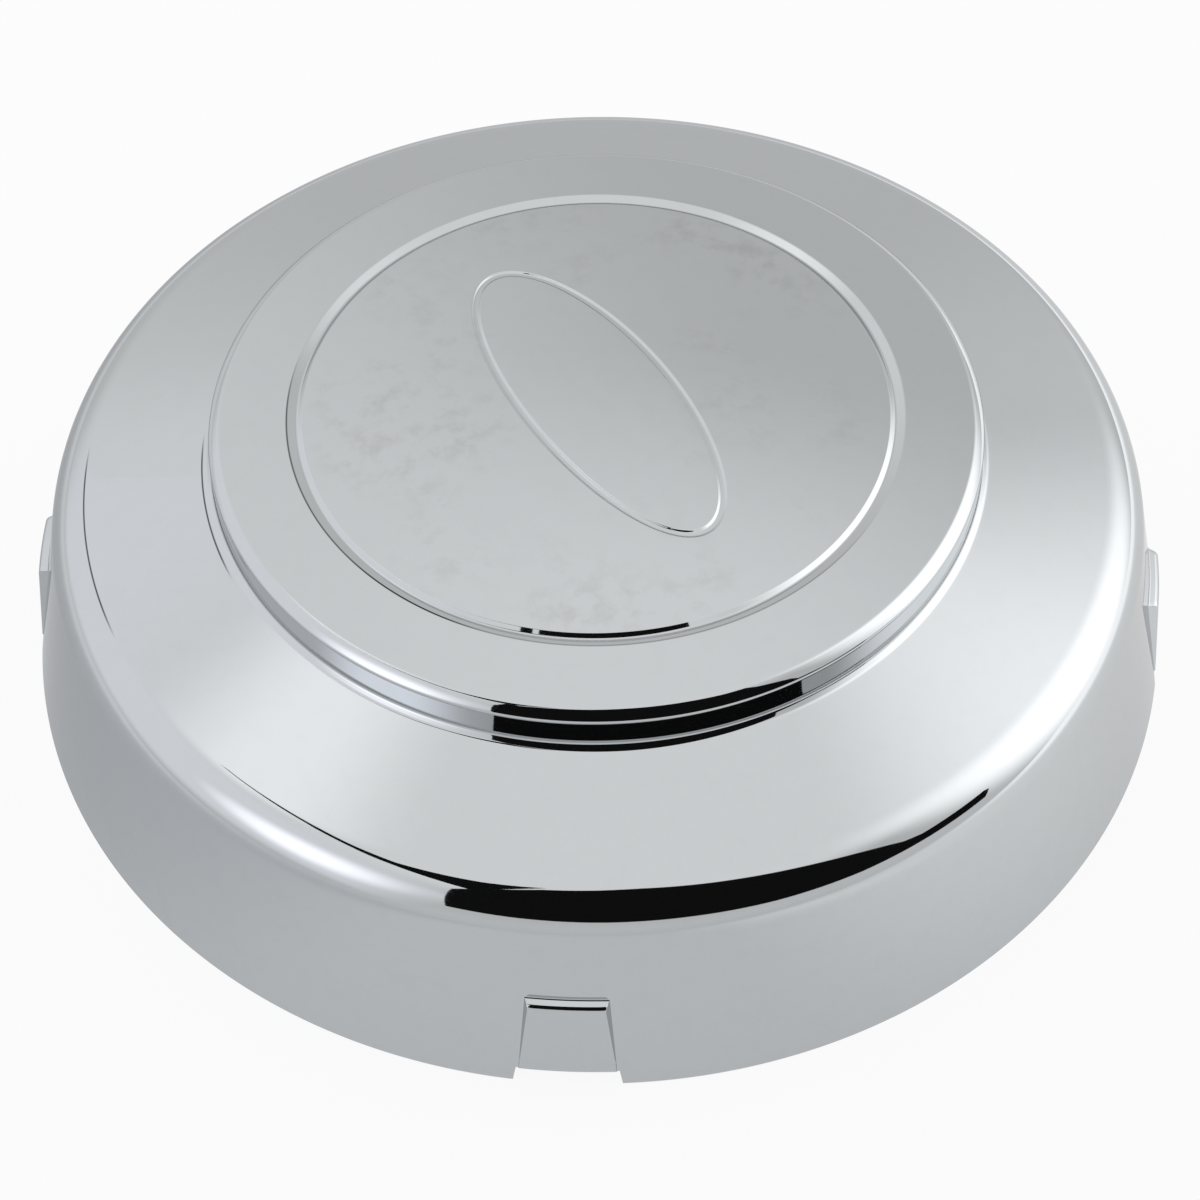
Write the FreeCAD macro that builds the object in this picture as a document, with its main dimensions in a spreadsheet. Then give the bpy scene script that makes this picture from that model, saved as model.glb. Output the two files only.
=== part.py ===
import FreeCAD, Part
import math
import os
import Sketcher

# Wheel center cap, one plated moulding open at the bottom.
# Millimetres and degrees. +Z is up, the origin is the centre of the rim's plane,
# and -Y is the front, where the first snap ridge stands.

SIZES = {
    # flared skirt
    "rim_radius": 105.0,
    "skirt_draft": 11.3,
    "wall": 2.5,
    "rim_rounding": 0.4,
    # shoulder and the shallow cone above it
    "shoulder_rounding": 9.5,
    "cone_fall": 14.6,
    # raised boss, with a sloped edge at its top and another at its foot
    "boss_radius": 68.4,
    "crown_rise": 12.0,
    "edge_run": 1.8,
    "edge_slope": 40.5,
    "boss_rounding": 2.0,
    "edge_rounding": 1.2,
    "foot_run": 1.0,
    "foot_slope": 39.0,
    "nook_rounding": 0.9,
    "foot_rounding": 1.5,
    "band_fall": 5.5,
    # domed disc and the ring groove around it
    "crown_height": 57.5,
    "dome_radius": 440.0,
    "disc_radius": 51.7,
    "groove_width": 2.6,
    "groove_depth": 1.0,
    "groove_slope": 50.0,
    "groove_edge_rounding": 0.35,
    "band_edge_rounding": 2.5,
    "groove_floor_rounding": 0.8,
    # oval groove in the disc
    "oval_half_length": 35.9,
    "oval_half_width": 13.2,
    "oval_turn": -56.2,
    "oval_groove_width": 1.9,
    "oval_depth": 0.3,
    # snap ridges on the skirt and the notches under them
    "snap_spread": 86.5,
    "ledge_height": 20.0,
    "ledge_reach": 1.8,
    "ridge_top_width": 14.0,
    "ridge_foot_width": 16.8,
    "ridge_rounding": 0.75,
    "notch_width": 18.6,
    "notch_top_width": 17.4,
    "notch_depth": 3.3,
    "notch_rounding": 0.6,
    # inside corners of the shell
    "inner_rounding": 1.5,
}

doc = FreeCAD.newDocument("center_cap")
sheet = doc.addObject("Spreadsheet::Sheet", "sizes")
for row, (name, value) in enumerate(SIZES.items(), start=1):
    sheet.set("A%d" % row, name)
    sheet.set("B%d" % row, str(value))
    sheet.setAlias("B%d" % row, name)
doc.recompute()


def size(name):
    return float(sheet.get(name))


def tan_of(name):
    return math.tan(math.radians(size(name)))


def origin_feature(body, role):
    return next(f for f in body.Origin.OriginFeatures if f.Role == role)


def new_sketch(body, name, role, height=None):
    sketch = body.newObject("Sketcher::SketchObject", name)
    sketch.AttachmentSupport = [(origin_feature(body, role), "")]
    sketch.MapMode = "FlatFace"
    if height:
        sketch.setExpression("AttachmentOffset.Base.z", height)
    return sketch


def bind(sketch, name, constraint, expression):
    index = sketch.addConstraint(constraint)
    sketch.renameConstraint(index, name)
    sketch.setExpression("Constraints." + name, expression)


def measure(sketch, name, kind, start, end, expression):
    """A level or upright distance between two points, each given as (geometry, point)."""
    gap = sketch.getPoint(*end) - sketch.getPoint(*start)
    value = gap.x if kind == "DistanceX" else gap.y
    bind(sketch, name, Sketcher.Constraint(kind, *start, *end, value), expression)


def chain(sketch, points):
    """A row of joined line segments through the points, given as (x, y)."""
    vectors = [FreeCAD.Vector(x, y, 0) for x, y in points]
    lines = [sketch.addGeometry(Part.LineSegment(a, b)) for a, b in zip(vectors, vectors[1:])]
    for first, second in zip(lines, lines[1:]):
        sketch.addConstraint(Sketcher.Constraint("Coincident", first, 2, second, 1))
    return lines


def circle_edges(feature, wanted):
    """Names of the round edges at each wanted (radius, height)."""
    names = []
    for number, edge in enumerate(feature.Shape.Edges, start=1):
        if edge.Degenerated or not isinstance(edge.Curve, Part.Circle):
            continue
        curve = edge.Curve
        for radius, height in wanted:
            if abs(curve.Radius - radius) < 0.02 and abs(curve.Center.z - height) < 0.02:
                names.append("Edge%d" % number)
    return names


def round_edges(body, base, name, edges, expression):
    fillet = body.newObject("PartDesign::Fillet", name)
    fillet.Base = (base, edges)
    fillet.setExpression("Radius", expression)
    doc.recompute()
    return fillet


# First positions of the section's corners, from the same sizes that constrain them
wall = size("wall")
dome_centre = size("crown_height") - size("dome_radius")
disc_edge = dome_centre + math.sqrt(size("dome_radius") ** 2 - size("disc_radius") ** 2)
floor_radius = size("disc_radius") + size("groove_depth") / tan_of("groove_slope")
band_radius = size("disc_radius") + size("groove_width")
band_end = size("boss_radius") - size("edge_run")
boss_edge = disc_edge - (band_end - band_radius) * tan_of("band_fall")
foot = (size("boss_radius") + size("foot_run"), size("crown_height") - size("crown_rise"))
rise = foot[1] + foot[0] * tan_of("cone_fall") - size("rim_radius") * tan_of("cone_fall")
shoulder_height = rise / (1 - tan_of("cone_fall") * tan_of("skirt_draft"))
shoulder_radius = size("rim_radius") - shoulder_height * tan_of("skirt_draft")


def inset(point, before, after):
    """The corner of the inner skin behind an outer corner, one wall in."""
    normals = []
    for a, b in ((before, point), (point, after)):
        length = math.hypot(b[0] - a[0], b[1] - a[1])
        normals.append(((b[1] - a[1]) / length, -(b[0] - a[0]) / length))
    (ax, ay), (bx, by) = normals
    share = wall / (1 + ax * bx + ay * by)
    return point[0] + share * (ax + bx), point[1] + share * (ay + by)


shoulder = (shoulder_radius, shoulder_height)
rim = (size("rim_radius"), 0.0)
boss = (band_end, boss_edge)
wall_top = (size("boss_radius"), boss_edge - size("edge_run") * tan_of("edge_slope"))
wall_foot = (size("boss_radius"), foot[1] + size("foot_run") * tan_of("foot_slope"))
inner_rim = (rim[0] - wall / math.cos(math.radians(size("skirt_draft"))), 0.0)
inner_shoulder = inset(shoulder, foot, rim)
cone_drop = foot[1] + (foot[0] - size("boss_radius")) * tan_of("cone_fall")
inner_foot = inset((size("boss_radius"), cone_drop), wall_foot, shoulder)
inner_dome = size("dome_radius") - wall
inner_boss = (inner_foot[0], dome_centre + math.sqrt(inner_dome ** 2 - inner_foot[0] ** 2))

# Turned section of the whole shell, skirt to crown
body = doc.addObject("PartDesign::Body", "moulding")
section = new_sketch(body, "section", "XZ_Plane")
outer = chain(section, [
    (size("disc_radius"), disc_edge), (floor_radius, disc_edge - size("groove_depth")),
    (band_radius, disc_edge), boss, wall_top, wall_foot, foot, shoulder, rim, inner_rim,
    inner_shoulder, inner_foot, inner_boss,
])
slope, rise_line, band, boss_edge_line, boss_wall, foot_line, cone, skirt = outer[:8]
rim_face, in_skirt, in_cone, in_wall = outer[8:]
centre = FreeCAD.Vector(0, dome_centre, 0)
upward = FreeCAD.Vector(0, 0, 1)
disc_angle = math.acos(size("disc_radius") / size("dome_radius"))
boss_angle = math.acos(inner_boss[0] / inner_dome)
dome = section.addGeometry(Part.ArcOfCircle(
    Part.Circle(centre, upward, size("dome_radius")), disc_angle, math.pi / 2))
under = section.addGeometry(Part.ArcOfCircle(
    Part.Circle(centre, upward, inner_dome), boss_angle, math.pi / 2))
axis_line = section.addGeometry(Part.LineSegment(
    FreeCAD.Vector(0, size("crown_height") - wall, 0), FreeCAD.Vector(0, size("crown_height"), 0)))
join = section.addConstraint
join(Sketcher.Constraint("Coincident", dome, 1, slope, 1))
join(Sketcher.Constraint("Coincident", under, 1, in_wall, 2))
join(Sketcher.Constraint("Coincident", under, 2, axis_line, 1))
join(Sketcher.Constraint("Coincident", dome, 2, axis_line, 2))
join(Sketcher.Constraint("Coincident", dome, 3, under, 3))
join(Sketcher.Constraint("PointOnObject", dome, 3, -2))
join(Sketcher.Constraint("PointOnObject", axis_line, 1, -2))
join(Sketcher.Constraint("PointOnObject", axis_line, 2, -2))
join(Sketcher.Constraint("PointOnObject", skirt, 2, -1))
join(Sketcher.Constraint("PointOnObject", rim_face, 2, -1))
join(Sketcher.Constraint("Parallel", in_skirt, skirt))
join(Sketcher.Constraint("Parallel", in_cone, cone))
join(Sketcher.Constraint("Vertical", boss_wall))
join(Sketcher.Constraint("Vertical", in_wall))
join(Sketcher.Constraint("Horizontal", slope, 1, band, 1))
bind(section, "dome_radius", Sketcher.Constraint("Radius", dome, size("dome_radius")), "sizes.dome_radius")
for name, kind, geometry, point, expression in (
    ("crown_height", "DistanceY", dome, 2, "sizes.crown_height"),
    ("crown_under", "DistanceY", under, 2, "sizes.crown_height - sizes.wall"),
    ("disc_radius", "DistanceX", dome, 1, "sizes.disc_radius"),
    ("band_radius", "DistanceX", band, 1, "sizes.disc_radius + sizes.groove_width"),
    ("boss_radius", "DistanceX", boss_wall, 1, "sizes.boss_radius"),
    ("foot_radius", "DistanceX", cone, 1, "sizes.boss_radius + sizes.foot_run"),
    ("foot_height", "DistanceY", cone, 1, "sizes.crown_height - sizes.crown_rise"),
    ("rim_radius", "DistanceX", skirt, 2, "sizes.rim_radius"),
):
    measure(section, name, kind, (-1, 1), (geometry, point), expression)
measure(section, "groove_depth", "DistanceY", (slope, 2), (slope, 1),
        "sizes.groove_depth")
measure(section, "groove_run", "DistanceX", (slope, 1), (slope, 2),
        "sizes.groove_depth / tan(sizes.groove_slope)")
measure(section, "band_drop", "DistanceY", (band, 2), (band, 1),
        "(sizes.boss_radius - sizes.edge_run - sizes.disc_radius - sizes.groove_width)"
        " * tan(sizes.band_fall)")
measure(section, "edge_run", "DistanceX", (boss_edge_line, 1), (boss_edge_line, 2),
        "sizes.edge_run")
measure(section, "edge_drop", "DistanceY", (boss_edge_line, 2), (boss_edge_line, 1),
        "sizes.edge_run * tan(sizes.edge_slope)")
measure(section, "foot_drop", "DistanceY", (foot_line, 2), (foot_line, 1),
        "sizes.foot_run * tan(sizes.foot_slope)")
cone_run = "(sizes.rim_radius - sizes.boss_radius - sizes.foot_run)"
shoulder_level = ("(sizes.crown_height - sizes.crown_rise - " + cone_run + " * tan(sizes.cone_fall))"
                  " / (1 - tan(sizes.cone_fall) * tan(sizes.skirt_draft))")
measure(section, "skirt_run", "DistanceX", (skirt, 1), (skirt, 2),
        shoulder_level + " * tan(sizes.skirt_draft)")
measure(section, "shoulder_height", "DistanceY", (-1, 1), (skirt, 1),
        shoulder_level)
bind(section, "skirt_wall", Sketcher.Constraint("Distance", rim_face, 2, skirt, wall), "sizes.wall")
bind(section, "cone_wall", Sketcher.Constraint("Distance", in_cone, 2, cone, wall), "sizes.wall")
bind(section, "boss_thickness", Sketcher.Constraint("Distance", in_wall, 2, boss_wall, wall), "sizes.wall")
doc.recompute()

shell = body.newObject("PartDesign::Revolution", "shell")
shell.Profile = section
shell.ReferenceAxis = (section, ["V_Axis"])
shell.Angle = 360.0
doc.recompute()

# Rounded corners of the turned shell
outer_edges = [
    ("shoulder_edge", [shoulder], "sizes.shoulder_rounding"),
    ("boss_foot_edge", [foot], "sizes.foot_rounding"),
    ("boss_nook", [wall_foot], "sizes.nook_rounding"),
    ("boss_side_edge", [wall_top], "sizes.edge_rounding"),
    ("boss_top_edge", [boss], "sizes.boss_rounding"),
    ("groove_floor", [(floor_radius, disc_edge - size("groove_depth"))], "sizes.groove_floor_rounding"),
    ("disc_rim_edge", [(size("disc_radius"), disc_edge)], "sizes.groove_edge_rounding"),
    ("band_rim_edge", [(band_radius, disc_edge)], "sizes.band_edge_rounding"),
    ("inner_shoulder_edge", [inner_shoulder], "sizes.shoulder_rounding - sizes.wall"),
    ("inner_boss_edges", [inner_foot, inner_boss], "sizes.inner_rounding"),
    ("rim_edges", [rim, inner_rim], "sizes.rim_rounding"),
]
tip = shell
for name, wanted, expression in outer_edges:
    tip = round_edges(body, tip, name, circle_edges(tip, wanted), expression)
turned = tip

# Snap ridges: flush at the rim, proud at the top where a flat ledge faces up
ledge_radius = "(sizes.rim_radius - sizes.ledge_height * tan(sizes.skirt_draft) + sizes.ledge_reach)"
foot_level = "sizes.notch_depth / 2"
foot_radius = "(sizes.rim_radius - sizes.notch_depth / 2 * tan(sizes.skirt_draft))"


def ridge_section(name, height, radius, width, first_radius, first_half):
    sketch = new_sketch(body, name, "XY_Plane", height)
    sketch.AttachmentOffset.Rotation = FreeCAD.Rotation(upward, -90)
    back = first_radius - size("wall") / 2
    spread = math.asin(first_half / first_radius)
    corner = first_radius * math.cos(spread)
    arc = sketch.addGeometry(Part.ArcOfCircle(
        Part.Circle(FreeCAD.Vector(0, 0, 0), upward, first_radius), -spread, spread))
    near, rear, far = chain(sketch, [
        (corner, first_half), (back, first_half), (back, -first_half), (corner, -first_half)])
    sketch.addConstraint(Sketcher.Constraint("Coincident", arc, 2, near, 1))
    sketch.addConstraint(Sketcher.Constraint("Coincident", far, 2, arc, 1))
    sketch.addConstraint(Sketcher.Constraint("Coincident", arc, 3, -1, 1))
    sketch.addConstraint(Sketcher.Constraint("Horizontal", near))
    sketch.addConstraint(Sketcher.Constraint("Horizontal", far))
    sketch.addConstraint(Sketcher.Constraint("Symmetric", rear, 1, rear, 2, -1))
    bind(sketch, "outer_radius", Sketcher.Constraint("Radius", arc, first_radius), radius)
    measure(sketch, "width", "DistanceY", (rear, 2), (rear, 1),
        width)
    measure(sketch, "back", "DistanceX", (-1, 1), (rear, 1),
        radius + " - sizes.ledge_reach - sizes.wall / 2" if "ledge_reach" in radius
         else radius + " - sizes.wall / 2")
    return sketch


top_radius = size("rim_radius") - size("ledge_height") * tan_of("skirt_draft") + size("ledge_reach")
low_radius = size("rim_radius") - size("notch_depth") / 2 * tan_of("skirt_draft")
low = ridge_section("ridge_foot", foot_level, foot_radius, "sizes.ridge_foot_width",
                    low_radius, size("ridge_foot_width") / 2)
top = ridge_section("ridge_top", "sizes.ledge_height", ledge_radius, "sizes.ridge_top_width",
                    top_radius, size("ridge_top_width") / 2)
doc.recompute()
ridge = body.newObject("PartDesign::AdditiveLoft", "snap_ridge")
ridge.Profile = low
ridge.Sections = [(top, [""])]
ridge.Ruled = True
doc.recompute()


def repeat_around(feature):
    """Copies a front feature to the right, to the left and to the back."""
    for side in ("right", "left", "back"):
        copies = body.newObject("PartDesign::PolarPattern", feature.Name + "_" + side)
        copies.Originals = [feature]
        copies.Axis = (origin_feature(body, "Z_Axis"), [""])
        copies.Occurrences = 2
        copies.Reversed = side == "left"
        if side == "back":
            copies.Angle = 360.0
        else:
            copies.setExpression("Angle", "sizes.snap_spread")
        body.Tip = copies
        doc.recompute()
    return copies


ridges = repeat_around(ridge)

# Notches in the rim, one under each ridge
outline = new_sketch(body, "notch_outline", "XZ_Plane")
half, half_top = size("notch_width") / 2, size("notch_top_width") / 2
below = -size("notch_depth")
points = [(-half, 0), (-half_top, size("notch_depth")), (half_top, size("notch_depth")),
          (half, 0), (half, below), (-half, below), (-half, 0)]
left, ceiling, right, right_low, floor, left_low = chain(outline, points)
outline.addConstraint(Sketcher.Constraint("Coincident", left_low, 2, left, 1))
outline.addConstraint(Sketcher.Constraint("PointOnObject", left, 1, -1))
outline.addConstraint(Sketcher.Constraint("Horizontal", floor))
outline.addConstraint(Sketcher.Constraint("Vertical", right_low))
outline.addConstraint(Sketcher.Constraint("Vertical", left_low))
outline.addConstraint(Sketcher.Constraint("Symmetric", left, 1, right, 2, -2))
outline.addConstraint(Sketcher.Constraint("Symmetric", left, 2, right, 1, -2))
measure(outline, "width", "DistanceX", (left, 1), (right, 2),
        "sizes.notch_width")
measure(outline, "top_width", "DistanceX", (ceiling, 1), (ceiling, 2),
        "sizes.notch_top_width")
measure(outline, "depth", "DistanceY", (left, 1), (left, 2),
        "sizes.notch_depth")
measure(outline, "below", "DistanceY", (right_low, 2), (right_low, 1),
        "sizes.notch_depth")
doc.recompute()
notch = body.newObject("PartDesign::Pocket", "notch")
notch.Profile = outline
notch.setExpression("Length", "sizes.rim_radius * 1.2")
notch.Reversed = True
doc.recompute()
notches = repeat_around(notch)


def edges_where(feature, test):
    """Names of the edges whose ends and middle pass the test."""
    names = []
    for number, edge in enumerate(feature.Shape.Edges, start=1):
        if edge.Degenerated:
            continue
        span = edge.ParameterRange
        middle = edge.valueAt((span[0] + span[1]) / 2)
        if test(edge, middle):
            names.append("Edge%d" % number)
    return names


def level(edge, height):
    return all(abs(v.Point.z - height) < 0.01 for v in edge.Vertexes)


def is_ledge_edge(edge, middle):
    proud = math.hypot(middle.x, middle.y) - (top_radius - size("ledge_reach"))
    return level(edge, size("ledge_height")) and proud > size("ledge_reach") / 4


def is_notch_corner(edge, middle):
    return level(edge, size("notch_depth")) and isinstance(edge.Curve, Part.Line)


tip = round_edges(body, notches, "ledge_edges", edges_where(notches, is_ledge_edge), "sizes.ridge_rounding")
tip = round_edges(body, tip, "notch_corners", edges_where(tip, is_notch_corner), "sizes.notch_rounding")
body.Tip = tip
doc.recompute()

# Oval groove: the space between two ovals, down to one depth below the domed disc


def oval_prism(name, change):
    curve = doc.addObject("Part::Ellipse", name + "_curve")
    curve.setExpression("MajorRadius", "sizes.oval_half_length" + change)
    curve.setExpression("MinorRadius", "sizes.oval_half_width" + change)
    curve.Placement.Rotation = FreeCAD.Rotation(FreeCAD.Vector(0, 0, 1), size("oval_turn"))
    curve.setExpression("Placement.Rotation.Angle", "sizes.oval_turn")
    prism = doc.addObject("Part::Extrusion", name)
    prism.Base = curve
    prism.DirMode = "Custom"
    prism.Dir = FreeCAD.Vector(0, 0, 1)
    prism.setExpression("LengthFwd", "sizes.crown_height * 2")
    prism.Solid = True
    return prism


def take_away(name, base, tool):
    result = doc.addObject("Part::Cut", name)
    result.Base = base
    result.Tool = tool
    return result


floor_ball = doc.addObject("Part::Sphere", "oval_floor")
floor_ball.setExpression("Radius", "sizes.dome_radius - sizes.oval_depth")
floor_ball.setExpression("Placement.Base.z", "sizes.crown_height - sizes.dome_radius")
outer_oval = oval_prism("outer_oval", " + sizes.oval_groove_width / 2")
inner_oval = oval_prism("inner_oval", " - sizes.oval_groove_width / 2")
oval_ring = take_away("oval_ring", outer_oval, inner_oval)
oval_groove = take_away("oval_groove", oval_ring, floor_ball)
doc.recompute()
cap = take_away("center_cap", body, oval_groove)
cap.Label = "center_cap"
doc.recompute()

# Every object is sound before the part is written
for item in doc.Objects:
    faults = [state for state in item.State if state in ("Invalid", "Error")]
    if faults:
        raise RuntimeError("%s: %s" % (item.Name, faults))
for before, after, grows in ((turned, ridge, True), (ridge, ridges, True), (ridges, notch, False),
                             (notch, notches, False), (body, cap, False)):
    if (after.Shape.Volume > before.Shape.Volume) != grows:
        raise RuntimeError("%s left the solid as it was" % after.Name)
if cap.Shape.isNull() or not cap.Shape.isValid() or len(cap.Shape.Solids) != 1:
    raise RuntimeError("the cap is not one sound solid")
os.makedirs("parts", exist_ok=True)
cap.Shape.exportStep("parts/%s.step" % cap.Label)
box = cap.Shape.optimalBoundingBox()
print("%s: %.1f x %.1f x %.1f mm, %.1f cm3" % (
    cap.Label, box.XLength, box.YLength, box.ZLength, cap.Shape.Volume / 1000))
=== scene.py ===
# %% [markdown]
# # A chrome wheel center cap
# A center cap covers the hub in the middle of a truck wheel. It is one moulded shell with a
# bright plating, so almost everything that you see on it is a reflection. That decides how we
# work here: the surface has to be very smooth, and the studio around it matters as much as the
# cap itself.

# %% Load the frame
import math

import bmesh
import bpy
from mathutils import Matrix, Vector


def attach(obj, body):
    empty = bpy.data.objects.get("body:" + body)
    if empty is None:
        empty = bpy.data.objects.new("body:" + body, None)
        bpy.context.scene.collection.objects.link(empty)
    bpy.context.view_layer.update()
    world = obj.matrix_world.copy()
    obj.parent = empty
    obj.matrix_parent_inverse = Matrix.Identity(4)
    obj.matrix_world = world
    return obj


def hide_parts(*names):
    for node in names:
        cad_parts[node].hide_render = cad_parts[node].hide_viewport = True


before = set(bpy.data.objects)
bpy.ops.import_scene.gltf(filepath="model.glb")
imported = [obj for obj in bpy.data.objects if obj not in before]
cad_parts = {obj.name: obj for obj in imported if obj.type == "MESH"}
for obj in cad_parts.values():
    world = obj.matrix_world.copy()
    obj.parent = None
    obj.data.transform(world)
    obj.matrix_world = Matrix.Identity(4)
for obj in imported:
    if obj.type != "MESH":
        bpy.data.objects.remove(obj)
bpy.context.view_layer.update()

MM = 0.001

# %% [markdown]
# ## The section of the shell
# The cap is round, so one half of its cut section, turned about the Z axis, gives the whole
# shell. We could type in hundreds of points, but a designer thinks in corners and rounding radii.
# Each corner below is (radius, height, rounding) in millimetres, from the ring groove out over
# the boss, down the skirt, around the rim and back up the inside.

# %% Corners of the section
# Radius of the disc's dome, height of its top and thickness of the shell, in millimetres
DOME, CROWN, WALL = 440.0, 57.5, 2.5
# Radii from the middle out: start of the turned section, both edges of the ring groove, boss and rim
START, RING_INNER, RING_OUTER, BOSS_EDGE, RIM = 50.0, 51.7, 54.3, 66.6, 105.0
RING_DEPTH, BOSS_SLOPE = 0.62, 5.5


def dome_height(radius, depth=0.0):
    """Height of the domed disc at a radius, or of a skin that lies some depth below it."""
    return CROWN - DOME + math.sqrt((DOME - depth) ** 2 - radius ** 2)


def fall(run, degrees):
    """How far a sloping line falls over a level run."""
    return run * math.tan(math.radians(degrees))


disc_height = dome_height(RING_INNER)
boss_height = disc_height - fall(BOSS_EDGE - RING_OUTER, BOSS_SLOPE)
bevel_middle = boss_height - fall(1.0, 33.0)
bevel_foot = bevel_middle - fall(0.8, 48.0)
corners = [
    (START, dome_height(START), 0),
    (RING_INNER, disc_height, 0.35),
    (52.65, disc_height - RING_DEPTH, 0.6),
    (RING_OUTER, disc_height, 0.8),
    (BOSS_EDGE, boss_height, 1.6),
    (67.6, bevel_middle, 6.0),
    (68.4, bevel_foot, 1.05),
    (68.4, 45.5 + fall(1.0, 39.0), 0.9),
    (69.4, 45.5, 1.5),
    (97.364, 38.216, 9.5),
    (RIM, 0.0, 0.4),
    (102.451, 0.0, 0.4),
    (95.219, 36.191, 7.0),
    (65.9, 43.828, 1.5),
    (65.9, 50.008, 1.5),
    (58.0, dome_height(58.0, WALL), 0),
]
print(len(corners), "corners,", sum(1 for corner in corners if corner[2]), "of them rounded")

# %% [markdown]
# ## Drawing lines and arcs
# A rounded corner is a straight run up to a point, then an arc. bmesh can draw the arc for us:
# spinning one vertex about the centre of the rounding leaves a row of edges behind it. Long runs
# get a vertex close to each end, so that the shading of a flat run isn't bent by the arc next to
# it.

# %% Section helpers
# A run longer than this, in millimetres, gets vertices at these shares of its length
LONG_RUN, LONG_RUN_SHARES = 6.0, (0.03, 0.5, 0.97, 1.0)
# How far one step of an arc turns, in degrees, and the fewest steps in an arc
ARC_STEP, FEWEST_STEPS = 5.0, 4
# Points closer together than this are one point
MERGE = 0.002 * MM


def place(radius, height):
    """A point of the section, in metres."""
    return Vector((radius * MM, 0, height * MM))


def run_to(bm, tip, target, shares=(1.0,)):
    """Draws a straight run of edges from the vertex tip to the target."""
    start = tip.co.copy()
    for share in shares:
        ahead = bm.verts.new(start.lerp(target, share))
        bm.edges.new((tip, ahead))
        tip = ahead
    return tip


def arc_about(bm, tip, centre, angle, steps):
    """Draws an arc from the vertex tip, turning about a centre in the section's plane."""
    made = bmesh.ops.spin(bm, geom=[tip], cent=centre, axis=(0, 1, 0), dvec=(0, 0, 0),
                          angle=angle, steps=steps, use_duplicate=False)
    return next(v for v in made["geom_last"] if isinstance(v, bmesh.types.BMVert))


def draw_section(bm, corners):
    """Draws the chain of rounded corners and gives back its last vertex."""
    tip = bm.verts.new(place(*corners[0][:2]))
    for before, corner, after in zip(corners, corners[1:], corners[2:]):
        here = place(*corner[:2])
        inward = (place(*before[:2]) - here).normalized()
        onward = (place(*after[:2]) - here).normalized()
        turn = math.pi - inward.angle(onward)
        reach = corner[2] * MM * math.tan(turn / 2)
        bend = here + inward * reach
        is_long = (bend - tip.co).length > LONG_RUN * MM
        tip = run_to(bm, tip, bend, LONG_RUN_SHARES if is_long else (1.0,))
        if corner[2]:
            centre = here + (inward + onward).normalized() * (corner[2] * MM / math.cos(turn / 2))
            clockwise = 1 if inward.cross(onward).y < 0 else -1
            steps = max(FEWEST_STEPS, math.ceil(math.degrees(turn) / ARC_STEP))
            tip = arc_about(bm, tip, centre, clockwise * turn, steps)
    return run_to(bm, tip, place(*corners[-1][:2]))


# %% Draw the section
bm = bmesh.new()
tip = draw_section(bm, corners)
for radius in (45.0, 30.0, 15.0, 0.0):
    tip = run_to(bm, tip, place(radius, dome_height(radius, WALL)))
print("section:", len(bm.verts), "points, widest", round(max(v.co.x for v in bm.verts), 5))

# %% [markdown]
# ## Turning the shell
# A full spin about Z makes the shell. The inner skin ends on the axis, where every copy of the
# last vertex falls on one point, so the doubles are merged before the normals are worked out.

# %% Spin
COLUMNS = 320
bmesh.ops.spin(bm, geom=bm.verts[:] + bm.edges[:], cent=(0, 0, 0), axis=(0, 0, 1),
               dvec=(0, 0, 0), angle=math.tau, steps=COLUMNS, use_merge=True, use_duplicate=False)
bmesh.ops.remove_doubles(bm, verts=bm.verts[:], dist=MERGE)
print("turned shell:", len(bm.faces), "faces")

# %% [markdown]
# ## The domed disc with its oval groove
# The top of the spin is still open. Its edge is a circle, and the groove in the disc is an oval,
# so the disc is built as a row of rings that change from one to the other. Each ring is extruded
# from the last one and moved in: every vertex keeps its angle on the oval and takes its height
# from the dome. In the groove, the rings dip down a wall, cross a flat floor and come up again.

# %% Oval sizes
OVAL_LONG, OVAL_SHORT, OVAL_TURN = 35.9, 13.2, math.radians(-56.2)
GROOVE_WIDTH, GROOVE_DEPTH, GROOVE_WALL = 1.9, 0.25, 0.65
OUTER_RINGS, GROOVE_RINGS, INNER_SHARES = 8, 20, (0.85, 0.65, 0.45, 0.25, 0.08)
unturned = Matrix.Rotation(-OVAL_TURN, 3, "Z")


def grown(change, depth=0.0):
    """The oval grown by a change, as (half length, half width, depth below the dome)."""
    return OVAL_LONG + change, OVAL_SHORT + change, depth


outer_oval = grown(GROOVE_WIDTH / 2)
ovals = []
for step in range(1, OUTER_RINGS + 1):
    share = step / OUTER_RINGS
    ovals.append((*(START + (half - START) * share for half in outer_oval[:2]), 0.0))
for step in range(1, GROOVE_RINGS + 1):
    change = GROOVE_WIDTH * (0.5 - step / GROOVE_RINGS)
    wall_share = min(1.0, (GROOVE_WIDTH / 2 - abs(change)) / GROOVE_WALL)
    ovals.append(grown(change, GROOVE_DEPTH * (1 - math.cos(math.pi * wall_share)) / 2))
inner_oval = ovals[-1]
for share in INNER_SHARES:
    ovals.append(tuple(value * share for value in inner_oval))
print("rings:", len(ovals), "deepest", round(max(oval[2] for oval in ovals), 2), "mm")


# %% Rings of the disc
def step_in(bm, ring, old, new):
    """Extrudes a ring of edges and moves the new ring from one oval to the next."""
    made = bmesh.ops.extrude_edge_only(bm, edges=ring)["geom"]
    for v in (item for item in made if isinstance(item, bmesh.types.BMVert)):
        spot = unturned @ v.co
        angle = math.atan2(spot.y / old[1], spot.x / old[0])
        spot = Vector((new[0] * math.cos(angle), new[1] * math.sin(angle), 0))
        spot = unturned.transposed() @ spot
        v.co = place(0, dome_height(spot.length) - new[2]) + spot * MM
    return [item for item in made if isinstance(item, bmesh.types.BMEdge) and item.is_boundary]


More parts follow.
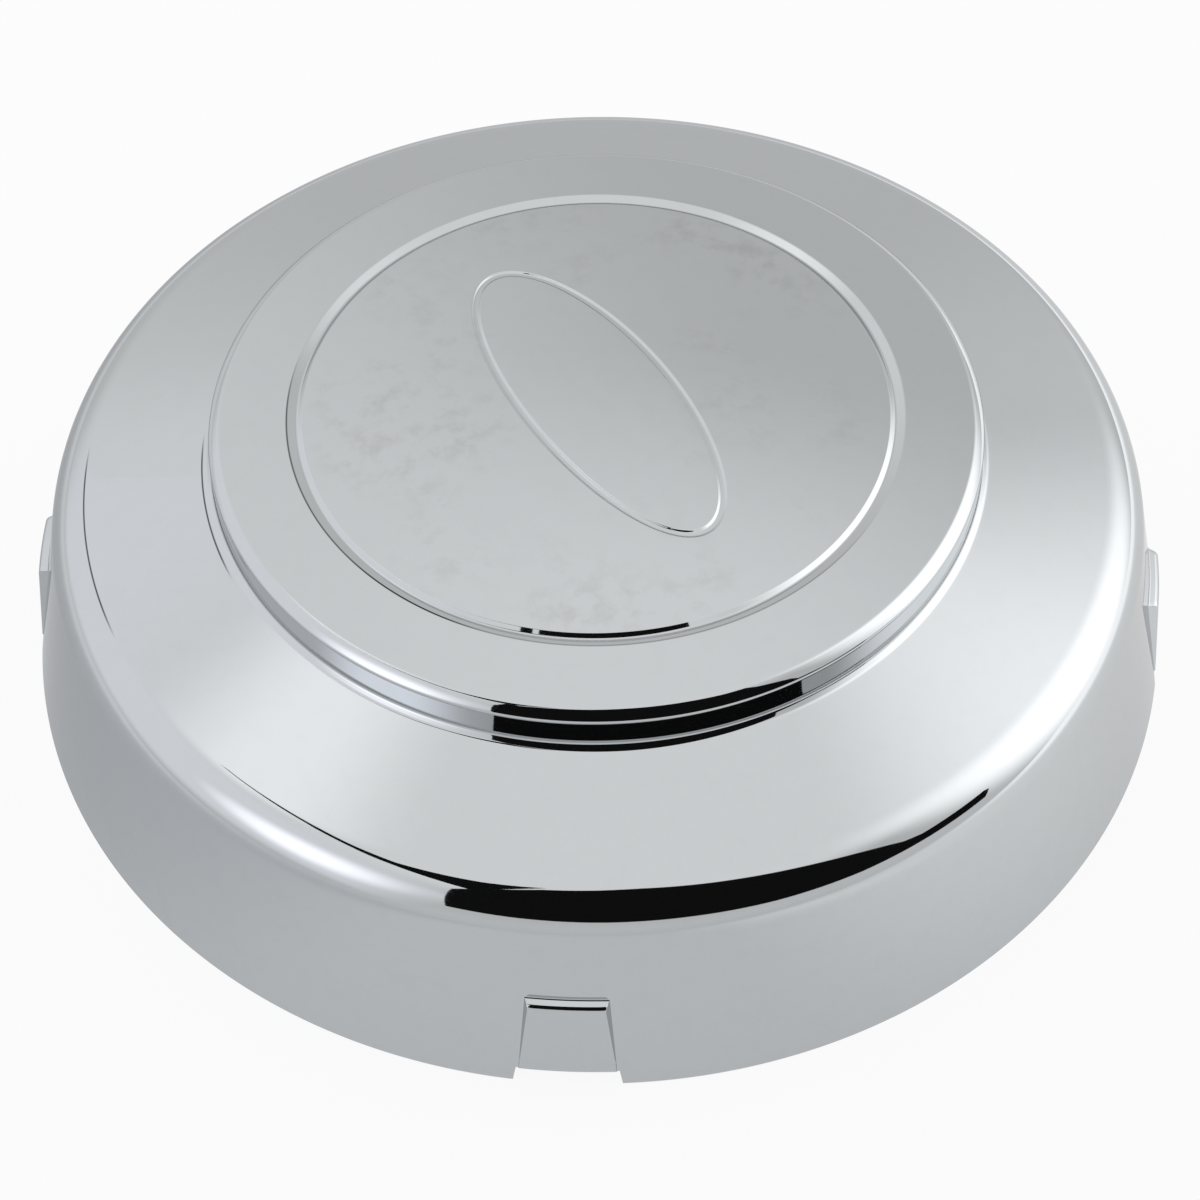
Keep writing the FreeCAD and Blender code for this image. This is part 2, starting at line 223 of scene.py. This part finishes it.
ring = [e for e in bm.edges if e.is_boundary]
for old, new in zip([(START, START, 0)] + ovals, ovals):
    ring = step_in(bm, ring, old, new)
bmesh.ops.contextual_create(bm, geom=ring)
bmesh.ops.recalc_face_normals(bm, faces=bm.faces[:])
print("closed shell:", len(bm.faces), "faces, open edges:", sum(e.is_boundary for e in bm.edges))

# %% [markdown]
# ## Snap ridges and their notches
# Four ridges around the skirt hold the cap in the wheel. Each starts flush near the rim and
# stands proud at its top, where a ledge faces up, and the rim has a notch under it. They could be
# separate blocks pushed into the skirt, but on a mirror surface every seam shows. So the skirt
# itself is cut along the ridge's outline with planes, the patch is extruded, and its new vertices
# are moved out to the ridge's own slope. They also move in from the sides, because a moulded
# ridge needs some draft to come out of its mould.

# %% Ridge sizes
SKIRT_DRAFT, SIDE_TURN = 11.3, 86.5
LEDGE, LEDGE_REACH, LEDGE_FALL = 20.0, 1.8, 0.38
NOTCH, SIDE_FOOT, SIDE_DRAFT = 3.3, 6.0, 0.42
# Outlines of a ridge and its notch, as (height, half width) at the foot and at the top
RIDGE_FOOT = (NOTCH / 2, 8.4)
RIDGE_TOP = (LEDGE, 7.0)
NOTCH_FOOT = (0.0, 9.3)
NOTCH_TOP = (NOTCH, 8.7)


def along(low, high, height):
    """The value at a height on the line through two (height, value) pairs."""
    share = (height - low[0]) / (high[0] - low[0])
    return low[1] + (high[1] - low[1]) * share


def skirt_radius(height):
    """Radius of the skirt's outside at a height."""
    return RIM - fall(height, SKIRT_DRAFT)


def ridge_radius(height):
    """Radius of a ridge's front at a height."""
    foot = (RIDGE_FOOT[0], skirt_radius(RIDGE_FOOT[0]))
    return along(foot, (LEDGE, skirt_radius(LEDGE) + LEDGE_REACH), height)


print("ridge stands", round(ridge_radius(LEDGE) - skirt_radius(LEDGE), 2), "mm proud at its ledge",
      "and", round(ridge_radius(NOTCH) - skirt_radius(NOTCH), 2), "mm above its notch")


# %% Cutting helpers
# A ridge's surroundings: farther out than one value and within the other to each side
ZONE_OUT, ZONE_SIDE = 80, 12
# How far out a cutting plane is given, a hair's width, and the area of the least face worth cutting
CUT_OUT, NARROW, SMALL_FACE = 100, 0.01, 0.6


def middle(face, turn):
    """A face's centre in millimetres, in a frame turned so that the ridge stands on its X axis."""
    return turn.transposed() @ face.calc_center_median() / MM


def faces_around(bm, turn, top):
    """The faces around a ridge that lie below some height."""
    low = [f for f in bm.faces if f.calc_center_median().z < top * MM]
    return [f for f in low if middle(f, turn).x > ZONE_OUT and abs(middle(f, turn).y) < ZONE_SIDE]


def within(faces, turn, low, high):
    """The faces between the two sloping sides of an outline."""
    return [f for f in faces if abs(middle(f, turn).y) < along(low, high, middle(f, turn).z)]


def cut(bm, faces, turn, point, normal):
    """Cuts the faces with a plane, given in the ridge's own frame in millimetres."""
    geom = list(dict.fromkeys(item for f in faces for item in (f, *f.edges, *f.verts)))
    made = bmesh.ops.bisect_plane(bm, geom=geom, dist=MERGE, plane_co=turn @ Vector(point) * MM,
                                  plane_no=turn @ Vector(normal))
    return [item for item in made["geom"] if isinstance(item, bmesh.types.BMFace)]


def cut_sides(bm, faces, turn, low, high):
    """Cuts both sloping sides of an outline, given by its half widths at two heights."""
    for side in (-1, 1):
        lean = (high[0] - low[0], -side * (high[1] - low[1]))
        faces = cut(bm, faces, turn, (CUT_OUT, side * low[1], low[0]), (0, lean[0], lean[1]))
    return faces


# %% Ridges
SKIRT_TOP = 31
RIDGE_ROWS = (LEDGE, 15.0, 10.0, SIDE_FOOT, NOTCH)


def sunk(face, turn):
    """How far a face lies inside the outer surface of the skirt."""
    return skirt_radius(middle(face, turn).z) - math.hypot(*middle(face, turn).xy)


def raise_ridge(bm, turn):
    """Cuts a ridge's outline into the skirt, lifts it and gives back the faces of its front."""
    outer = [f for f in faces_around(bm, turn, SKIRT_TOP)
             if sunk(f, turn) < 1 and f.calc_area() > SMALL_FACE * MM * MM]
    for height in RIDGE_ROWS:
        outer = cut(bm, outer, turn, (CUT_OUT, 0, height), (0, 0, 1))
    patch = [f for f in outer if NOTCH < middle(f, turn).z < LEDGE]
    patch = cut_sides(bm, patch, turn, RIDGE_FOOT, RIDGE_TOP)
    patch = within(patch, turn, RIDGE_FOOT, RIDGE_TOP)
    lifted = bmesh.ops.extrude_face_region(bm, geom=patch)["geom"]
    bmesh.ops.delete(bm, geom=patch, context="FACES")
    for v in (item for item in lifted if isinstance(item, bmesh.types.BMVert)):
        spot = turn.transposed() @ v.co / MM
        if spot.z > LEDGE - NARROW:
            spot.z -= LEDGE_FALL
        stand = ridge_radius(spot.z) - skirt_radius(spot.z)
        spot.y *= 1 - stand * SIDE_DRAFT / along(RIDGE_FOOT, RIDGE_TOP, spot.z)
        grow = ridge_radius(spot.z) / math.hypot(spot.x, spot.y)
        v.co = turn @ Vector((spot.x * grow, spot.y * grow, spot.z)) * MM
    return [f for f in lifted if isinstance(f, bmesh.types.BMFace)]


azimuths = (-90, -90 + SIDE_TURN, -90 - SIDE_TURN, 90)
turns = [Matrix.Rotation(math.radians(azimuth), 3, "Z") for azimuth in azimuths]
fronts = [raise_ridge(bm, turn) for turn in turns]
print("ridge faces:", [len(front) for front in fronts])


# %% [markdown]
# ## Notches in the rim
# Under each ridge the rim has a notch, so that the skirt can spring a little when the cap snaps
# in. A boolean cut could make it, but it likes to leave slivers where two surfaces nearly meet.
# So the rim is cut with the notch's own planes, the faces between them are deleted, and its roof
# and its two walls are filled in again.

# %% Notches
RIM_EDGE = 0.5


def open_notch(bm, turn):
    """Cuts a notch out of the rim, closes its walls and gives back how many faces fell away."""
    inner = [f for f in faces_around(bm, turn, LEDGE)
             if sunk(f, turn) > 2 and middle(f, turn).z > RIM_EDGE]
    cut(bm, inner, turn, (CUT_OUT, 0, NOTCH), (0, 0, 1))
    low = faces_around(bm, turn, NOTCH - NARROW)
    low = cut_sides(bm, low, turn, NOTCH_FOOT, NOTCH_TOP)
    waste = within(low, turn, NOTCH_FOOT, NOTCH_TOP)
    bmesh.ops.delete(bm, geom=waste, context="FACES")
    bare = [e for e in bm.edges if e.is_boundary]
    top = [e for e in bare if all(abs(v.co.z - NOTCH * MM) < NARROW * MM for v in e.verts)]
    ends = sorted(dict.fromkeys(v for e in top for v in e.verts),
                  key=lambda v: (turn.transposed() @ v.co).y)
    top += [bm.edges.new(pair) for pair in (ends[:2], ends[-2:])]
    bmesh.ops.edgeloop_fill(bm, edges=top)
    bmesh.ops.edgeloop_fill(bm, edges=[e for e in bm.edges if e.is_boundary])
    return len(waste)


print("notch faces cut out:", [open_notch(bm, turn) for turn in turns],
      "open edges:", sum(e.is_boundary for e in bm.edges))


# %% [markdown]
# ## Rounding the ridges
# Every moulded edge is a little round, and on chrome each rounding shows as a bright or dark
# line. A Bevel modifier would round all sharp edges alike, but here the ledge is rounder than the
# sides, and its root has a small fillet. So the three kinds of edge are found by where they lie
# and rounded one after the other.

# %% Edges of a ridge
# Only the skirt lies farther out than the one, and a ridge reaches less far to each side than the other
SKIRT_OUT, RIDGE_SIDE = 90, 9


def soften(bm, edges, radius, segments):
    """Rounds edges and gives back how many there were."""
    bmesh.ops.bevel(bm, geom=edges, offset=radius * MM, offset_type="OFFSET", affect="EDGES",
                    segments=segments, profile=0.5, material=-1, clamp_overlap=True)
    return len(edges)


def side_edges(bm, turn):
    """The upright edges of a ridge, where its front meets its two sides."""
    found = []
    for edge in bm.edges:
        spot = turn.transposed() @ ((edge.verts[0].co + edge.verts[1].co) / 2) / MM
        if spot.x < SKIRT_OUT or abs(spot.y) > RIDGE_SIDE or not SIDE_FOOT < spot.z < LEDGE:
            continue
        if math.hypot(spot.x, spot.y) < skirt_radius(spot.z) + 0.3 or len(edge.link_faces) != 2:
            continue
        faced = sorted(abs((turn.transposed() @ face.normal).y) for face in edge.link_faces)
        if faced[0] < 0.5 and faced[1] > 0.8:
            found.append(edge)
    return found


def root_edges(bm, turn):
    """The edges where a ledge meets the skirt above it."""
    found = []
    for edge in bm.edges:
        ends = [turn.transposed() @ v.co / MM for v in edge.verts]
        if all(abs(end.z - LEDGE) < NARROW and end.x > SKIRT_OUT
               and abs(end.y) < RIDGE_TOP[1] + 0.05
               and math.hypot(end.x, end.y) < skirt_radius(LEDGE) + 0.1 for end in ends):
            found.append(edge)
    return found


# %% Soften the ridges
ROOT_ROUND, LEDGE_ROUND, SIDE_ROUND = (0.25, 3), (0.8, 5), (0.3, 2)
roots = [e for turn in turns for e in root_edges(bm, turn)]
print("root edges:", soften(bm, roots, *ROOT_ROUND))
ledge_line = (LEDGE - LEDGE_FALL - NARROW) * MM
ledges = [e for e in dict.fromkeys(e for front in fronts for f in front for e in f.edges)
          if all(v.co.z > ledge_line for v in e.verts)]
print("ledge edges:", soften(bm, ledges, *LEDGE_ROUND))
bm.normal_update()
sides = [e for turn in turns for e in side_edges(bm, turn)]
print("side edges:", soften(bm, sides, *SIDE_ROUND))
bmesh.ops.recalc_face_normals(bm, faces=bm.faces[:])
print("cap:", len(bm.faces), "faces, about", sum(len(f.verts) - 2 for f in bm.faces), "triangles")

# %% [markdown]
# ## One object, two finishes
# The shell is plated all over, but only its outside is polished. Inside, the plating is thin and
# dull. Both are one moulding, so it stays one object, and the faces of the inner skin take a
# second material. Which faces those are is read from their normals: they look down or in towards
# the axis.

# %% Make the cap object
SHARP = math.radians(38)


def is_inside(face):
    """Whether a face above the rim's edge looks in or down."""
    spot, up = face.calc_center_median(), face.normal.z
    out = spot.to_2d()
    inward = -face.normal.to_2d().dot(out.normalized()) if out.length > 0 else 0.0
    return spot.z > 0.6 * MM and up < 0.3 and (inward > 0.3 or up < -0.15)


bm.normal_update()
for face in bm.faces:
    face.material_index = int(is_inside(face))
print("inside faces:", sum(face.material_index for face in bm.faces))
cap_mesh = bpy.data.meshes.new("plated_cap")
bm.to_mesh(cap_mesh)
bm.free()
cap_mesh.shade_smooth()
cap_mesh.set_sharp_from_angle(angle=SHARP)
cap = bpy.data.objects.new("plated_cap", cap_mesh)
bpy.context.scene.collection.objects.link(cap)
even = cap.modifiers.new("even_shading", "WEIGHTED_NORMAL")
even.keep_sharp = True
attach(cap, "root")
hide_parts("center_cap")

# %% [markdown]
# ## Writing shader maths as Python
# A material is a small program made of nodes. Wiring them by hand takes many lines, so one class
# wraps a node's output socket. Adding or multiplying such wires adds Math nodes, and its node
# method makes any other node.


# %% Wires
class Wire:
    """An output of a node. Arithmetic on wires adds Math nodes to the same tree."""

    def __init__(self, tree, socket=None):
        self.tree, self.socket = tree, socket

    def node(self, kind, settings=None, inputs=None, output=0):
        """Adds any node: first its settings, then values or wires for its sockets."""
        made = self.tree.nodes.new(kind)
        for name, value in (settings or {}).items():
            setattr(made, name, value)
        for key, value in (inputs or {}).items():
            if isinstance(value, Wire):
                self.tree.links.new(value.socket, made.inputs[key])
            else:
                made.inputs[key].default_value = value
        return Wire(self.tree, made.outputs[output] if made.outputs else None)

    def maths(self, operation, first, second):
        """Adds a Math node on two values or wires."""
        return self.node("ShaderNodeMath", {"operation": operation}, {0: first, 1: second})

    def __add__(self, other):
        return self.maths("ADD", self, other)

    def __sub__(self, other):
        return self.maths("SUBTRACT", self, other)

    def __mul__(self, other):
        return self.maths("MULTIPLY", self, other)

    def __radd__(self, other):
        return self.maths("ADD", other, self)

    def __rsub__(self, other):
        return self.maths("SUBTRACT", other, self)

    def __rmul__(self, other):
        return self.maths("MULTIPLY", other, self)

    def __abs__(self):
        return self.node("ShaderNodeMath", {"operation": "ABSOLUTE"}, {0: self})

    def fade(self, start, end, low=0.0, high=1.0):
        """Runs smoothly from low to high while the value goes from start to end."""
        return self.node("ShaderNodeMapRange", {"interpolation_type": "SMOOTHSTEP"}, {
            "Value": self, "From Min": start, "From Max": end, "To Min": low, "To Max": high})

    def part(self, axis):
        """One coordinate of a vector."""
        return self.node("ShaderNodeSeparateXYZ", inputs={0: self}, output=axis)


def new_tree(item):
    """The empty node tree of a material or a world."""
    item.use_nodes = True
    item.node_tree.nodes.clear()
    return Wire(item.node_tree)


def blend(factor, first, second):
    """A colour between two colours, each three numbers or a wire."""
    first, second = (c if isinstance(c, Wire) else (*c, 1) for c in (first, second))
    picked = {"Factor": factor, 6: first, 7: second}
    return factor.node("ShaderNodeMix", {"data_type": "RGBA"}, picked, output=2)


print("wires:", [name for name in vars(Wire) if not name.startswith("__")])

# %% [markdown]
# ## Bright plating
# Polished chrome has almost no colour of its own: it gives back about five eighths of the light,
# a little less of the red, in a nearly perfect mirror. A perfect mirror looks like a computer
# picture, though. The real disc has been wiped by hand, and faint cloudy smears stay on it. So a
# noise pattern, strong only on the disc, makes the mirror a trace darker and duller in small
# patches. Thin dark lines are also painted into the plating's colour, as painted reflections of
# the dark studio where the surface changes its slope: around the ring groove, at the foot of the
# boss and at the top of the shoulder.

# %% Bright plating material
# The third colour is the near-black of the painted dark reflection lines
PLATE, SMEAR, PAINTED_DARK_LINE_COLOUR = (0.612, 0.632, 0.645), (0.530, 0.541, 0.548), (0.03, 0.03, 0.03)
GRAZING = (0.82, 0.82, 0.82, 1)
LINE_EDGE, LINE_CORE = 0.22 * MM, 0.05 * MM


def plating(name):
    """A new material, its empty node tree and its Object coordinates."""
    material = bpy.data.materials.new(name)
    sheet = new_tree(material)
    return material, sheet, sheet.node("ShaderNodeTexCoord", output="Object")


def cloud(spot, scale, detail):
    """Soft random patches, about as wide as one over the scale in metres."""
    return spot.node("ShaderNodeTexNoise", inputs={
        "Vector": spot, "Scale": scale, "Detail": detail, "Roughness": 0.6}, output="Fac")


def distance(spot):
    """How far a point lies from the origin."""
    return spot.node("ShaderNodeVectorMath", {"operation": "LENGTH"}, {0: spot}, output="Value")


def painted_dark_line(spot, radius, azimuth, spread):
    """A thin painted dark reflection line around the cap, darkest at an azimuth and gone at some spread
    to each side.
    """
    a, reach = math.radians(azimuth), radius * MM
    flat = spot.node("ShaderNodeVectorMath", {"operation": "MULTIPLY"}, {0: spot, 1: (1, 1, 0)})
    ahead = flat.node("ShaderNodeVectorMath", {"operation": "DOT_PRODUCT"}, {
        0: flat, 1: (math.cos(a), math.sin(a), 0)}, output="Value")
    ends = [reach * math.cos(math.radians(spread * share)) for share in (1.0, 0.6)]
    return abs(distance(flat) - reach).fade(LINE_EDGE, LINE_CORE) * ahead.fade(*ends)


bright, sheet, spot = plating("bright_plating")
on_disc = spot.part("Z").fade(54.3 * MM, 54.8 * MM)
wiped = cloud(spot, 26.0, 2.0).fade(0.40, 0.62)
smear = cloud(spot, 260.0, 5.0).fade(0.43, 0.72) * (0.10 + on_disc * wiped * 0.8)
# Painted dark reflections: near-black lines at the shoulder, the boss foot and the ring groove, where
# small steps would mirror the dark studio
on_shoulder, on_boss = painted_dark_line(spot, 91.75, -165.5, 15), painted_dark_line(spot, 70.15, -164.5, 15)
on_ring, in_front = painted_dark_line(spot, 54.4, -148.5, 45), painted_dark_line(spot, 54.4, -81.5, 60)
painted_dark_lines = (on_shoulder + on_boss + on_ring * 0.9 + in_front * 0.5) * 0.9
metal = sheet.node("ShaderNodeBsdfPrincipled", inputs={
    "Base Color": blend(painted_dark_lines, blend(smear, PLATE, SMEAR), PAINTED_DARK_LINE_COLOUR), "Metallic": 1.0,
    "Roughness": 0.028 + smear * 0.05, "Specular Tint": GRAZING})
sheet.node("ShaderNodeOutputMaterial", inputs={"Surface": metal})
cap_mesh.materials.append(bright)
print("bright plating:", len(bright.node_tree.nodes), "nodes")

# %% [markdown]
# ## Dull plating
# The inside of the shell was never polished, and the plating bath reaches it poorly. It is greyer
# and rougher, in broad uneven patches.

# %% Dull plating material
dull, sheet, spot = plating("dull_plating")
patches = cloud(spot, 34.0, 3.0).fade(0.3, 0.7)
metal = sheet.node("ShaderNodeBsdfPrincipled", inputs={
    "Base Color": blend(patches, (0.50, 0.51, 0.52), (0.40, 0.41, 0.43)), "Metallic": 1.0,
    "Roughness": 0.22 + patches * 0.12})
sheet.node("ShaderNodeOutputMaterial", inputs={"Surface": metal})
cap_mesh.materials.append(dull)
print("finishes:", [material.name for material in cap_mesh.materials])

# %% [markdown]
# ## The camera
# The camera looks down at about 50 degrees from a little more than half a metre, with a long
# lens. It is turned a few degrees about the cap's axis, so that the front ridge stands left of
# the middle.

# %% Camera
CAMERA_TURN, PITCH, ROLL = 3.5, 50.14, -0.854
camera_data = bpy.data.cameras.new("camera")
camera_data.sensor_width = 36
camera_data.lens = 91.1
camera = bpy.data.objects.new("camera", camera_data)
camera.matrix_world = (
    Matrix.Translation((0.02271, -0.36795, 0.44253))
    @ Matrix.Rotation(math.radians(CAMERA_TURN), 4, "Z")
    @ Matrix.Rotation(math.radians(90 - PITCH), 4, "X")
    @ Matrix.Rotation(math.radians(ROLL), 4, "Z")
)
bpy.context.scene.collection.objects.link(camera)
bpy.context.scene.camera = camera
bpy.context.scene.view_settings.view_transform = "Standard"
print("camera distance:", round(camera.matrix_world.translation.length, 3), "m")

# %% [markdown]
# ## The studio
# A mirror shows the room, so the room is part of the picture. A product photographer builds it
# from cards and cloth-covered lamps: one large soft lamp on the right, a smaller round one and a
# pale wall on the left, a dark opening in front, where the camera looks in, and a narrow dark gap
# high up on the left. The cards are never seen themselves, only reflected.

# %% Card helpers
def direction(azimuth, elevation):
    """The unit vector towards an angle around and above the cap, as the camera sees it."""
    a, e = math.radians(azimuth + CAMERA_TURN), math.radians(elevation)
    return Vector((math.cos(a) * math.cos(e), math.sin(a) * math.cos(e), math.sin(e)))


def stage_piece(name, bm, material):
    """Makes an object of the studio from a bmesh."""
    mesh = bpy.data.meshes.new(name)
    bm.to_mesh(mesh)
    bm.free()
    mesh.materials.append(material)
    item = bpy.data.objects.new(name, mesh)
    bpy.context.scene.collection.objects.link(item)
    return item


def hide_card(item):
    """A card lights the cap and is reflected in it, but isn't in the picture and casts no shadow."""
    item.visible_camera = False
    item.visible_shadow = False


def folded_card(name, low, high, brightness):
    """A card between two rows of corners, in millimetres."""
    bm = bmesh.new()
    rows = []
    for row in (low, high):
        verts = [bm.verts.new(Vector(corner) * MM) for corner in row]
        rows += [bm.edges.new(pair) for pair in zip(verts, verts[1:])]
    bmesh.ops.bridge_loops(bm, edges=rows)
    material = bpy.data.materials.new(name)
    sheet = new_tree(material)
    glow = sheet.node("ShaderNodeEmission", inputs={"Strength": brightness})
    sheet.node("ShaderNodeOutputMaterial", inputs={"Surface": glow})
    hide_card(stage_piece(name, bm, material))
    print(name, "has", len(low) - 2, "folds")


# %% Dark cards
DARK, GAP_AWAY = 0.0065, 2000
folded_card("dark_opening",
            [(-134, -353, 139), (-67, -373, 137), (21, -381, 131), (109, -367, 124),
             (193, -335, 104), (267, -281, 88), (317, -219, 86), (351, -154, 83), (344, -138, 126)],
            [(-117, -255, 309), (-42, -169, 471), (-16, -162, 484), (6, -155, 485),
             (24, -148, 486), (41, -144, 475), (222, -272, 296), (314, -214, 152),
             (340, -141, 140)], DARK)
# Azimuth, lower and upper elevation along the gap, in degrees
GAP = [(156, 58.7, 59.7), (163, 62.2, 64.0), (174, 65, 67), (-173, 65.7, 68.3),
       (-158, 65, 69), (-138, 63, 75), (-120, 58, 80)]
folded_card("dark_gap", [direction(a, low) * GAP_AWAY for a, low, high in GAP],
            [direction(a, high) * GAP_AWAY for a, low, high in GAP], DARK)

# %% [markdown]
# ## Soft lamps
# Cloth over a lamp is bright in the middle and fades towards its edge. Each lamp is a card that
# faces the cap, with a glow that gives way to clear air. The fade is worked out from the card's
# own coordinates, which run from -1 to 1. Two dim washes and a small lamp fill in behind the cap.


# %% Lamp helpers
def round_fade(spot, core):
    """Fades from a round core to the card's edge."""
    return distance(spot).fade(1.0, core)


def square_fade(spot, core):
    """Fades from a square core to the card's edge."""
    across, upward = (abs(spot.part(axis)).fade(1.0, core) for axis in ("X", "Y"))
    return across * upward


def soft_lamp(name, azimuth, elevation, half_size, colour, brightness, fade, core, away=4.0):
    """A glowing card some metres away. Its half size is given as angles seen from the cap."""
    bm = bmesh.new()
    bmesh.ops.create_grid(bm, x_segments=1, y_segments=1, size=1.0)
    material = bpy.data.materials.new(name)
    sheet = new_tree(material)
    mask = fade(sheet.node("ShaderNodeTexCoord", output="Object"), core)
    glow = sheet.node("ShaderNodeEmission", inputs={"Color": (*colour, 1), "Strength": brightness})
    clear = sheet.node("ShaderNodeBsdfTransparent")
    mixed = sheet.node("ShaderNodeMixShader", inputs={0: mask, 1: clear, 2: glow})
    sheet.node("ShaderNodeOutputMaterial", inputs={"Surface": mixed})
    item = stage_piece(name, bm, material)
    hide_card(item)
    toward = direction(azimuth, elevation)
    width, height = (away * math.tan(math.radians(angle)) for angle in half_size)
    facing = toward.to_track_quat("Z", "Y").to_matrix().to_4x4()
    item.matrix_world = (Matrix.Translation(toward * away) @ facing
                         @ Matrix.Diagonal((width, height, 1, 1)))
    print(name, "is", round(2 * width, 1), "by", round(2 * height, 1), "m")


# %% Lamps
soft_lamp("left_lamp", -146, 29, (22, 21), (0.98, 0.98, 1.03), 1.7, round_fade, 0.2)
soft_lamp("right_lamp", 12, 29, (38, 45), (1, 1, 1), 1.7, round_fade, 0.3)
soft_lamp("back_lamp", 148, 63, (16, 13), (1, 1, 1), 1.25, round_fade, 0.1, 6.0)
soft_lamp("pale_wall", -176, 31, (56, 35), (0.99, 0.99, 1.02), 0.96, square_fade, 0.5, 9.0)
soft_lamp("left_wash", 132, 43, (40, 38), (1, 1, 1), 0.93, round_fade, 0.0, 13.0)
soft_lamp("right_wash", 50, 24, (25, 25), (1, 1, 1), 0.82, round_fade, 0.0, 9.0)

# %% [markdown]
# ## The room
# Everything that the cards leave free is the room itself: a plain grey wall that gets lighter
# towards the ceiling. The camera would see white there, so for camera rays the room is white.

# %% Room
world = bpy.data.worlds.new("studio")
bpy.context.scene.world = world
sheet = new_tree(world)
height = sheet.node("ShaderNodeTexCoord", output="Generated").part("Z")
seen = sheet.node("ShaderNodeLightPath", output="Is Camera Ray")
room = height.fade(0.65, 0.90, 0.65, 0.95) + height.fade(0.5, 0.05, 0.0, 0.06)
air = sheet.node("ShaderNodeBackground", inputs={
    "Color": (1, 1, 1, 1), "Strength": room + seen * (1 - room)})
sheet.node("ShaderNodeOutputWorld", inputs={"Surface": air})
print("room:", len(world.node_tree.nodes), "nodes")

# %% [markdown]
# ## The floor
# The cap stands on white paper. In the picture the paper is nearly pure white, with only a breath
# of shadow, so for camera rays most of it glows. The chrome mirrors the paper, and for mirrored
# rays the paper's light and shade are painted into its glow: painted light that grows from left to
# right, as the large lamp would light the right more, and painted shade close to the cap. Farther
# from the cap the painted glow is brighter at the back and next to the lamp than in front, where
# the camera stands.

# %% Floor
PAPER_GLOW, MIRRORED_GLOW = 0.92, 0.82
bm = bmesh.new()
bmesh.ops.create_grid(bm, x_segments=1, y_segments=1, size=20.0)
paper = bpy.data.materials.new("white_paper")
sheet = new_tree(paper)
rays = {name: sheet.node("ShaderNodeLightPath", output="Is %s Ray" % name)
        for name in ("Camera", "Glossy", "Transmission")}
spot = sheet.node("ShaderNodeTexCoord", output="Object")
across, depth = spot.part("X"), spot.part("Y")
# Painted light and shade for mirrored rays: darker close to the cap, most on its left, lighter towards
# the lamp on the right and brighter than white beside it
away = distance(spot).fade(0.16, 0.40)
rightward = across.fade(-0.12, -0.05, 0.0, 0.4) + across.fade(0.04, 0.13, 0.0, 0.6)
close = blend(rightward, (0.60, 0.61, 0.63), (0.98, 0.98, 0.98))
painted_light_far_side = blend(across.fade(0.05, 0.40), (0.86, 0.87, 0.88), (1.55, 1.55, 1.55))
painted_floor_light = blend(away, close, blend(depth.fade(-0.05, -0.30), painted_light_far_side, (0.68, 0.69, 0.70)))
mirrored = (rays["Glossy"] + rays["Transmission"]) * MIRRORED_GLOW
matt = sheet.node("ShaderNodeBsdfDiffuse", inputs={"Color": (0.75, 0.75, 0.75, 1)})
reflected = sheet.node("ShaderNodeMixShader", inputs={
    0: mirrored, 1: matt, 2: sheet.node("ShaderNodeEmission", inputs={"Color": painted_floor_light})})
lit = sheet.node("ShaderNodeMixShader", inputs={
    0: rays["Camera"] * PAPER_GLOW, 1: reflected, 2: sheet.node("ShaderNodeEmission")})
sheet.node("ShaderNodeOutputMaterial", inputs={"Surface": lit})
stage_piece("floor", bm, paper)
print("floor:", len(paper.node_tree.nodes), "nodes")

# %% [markdown]
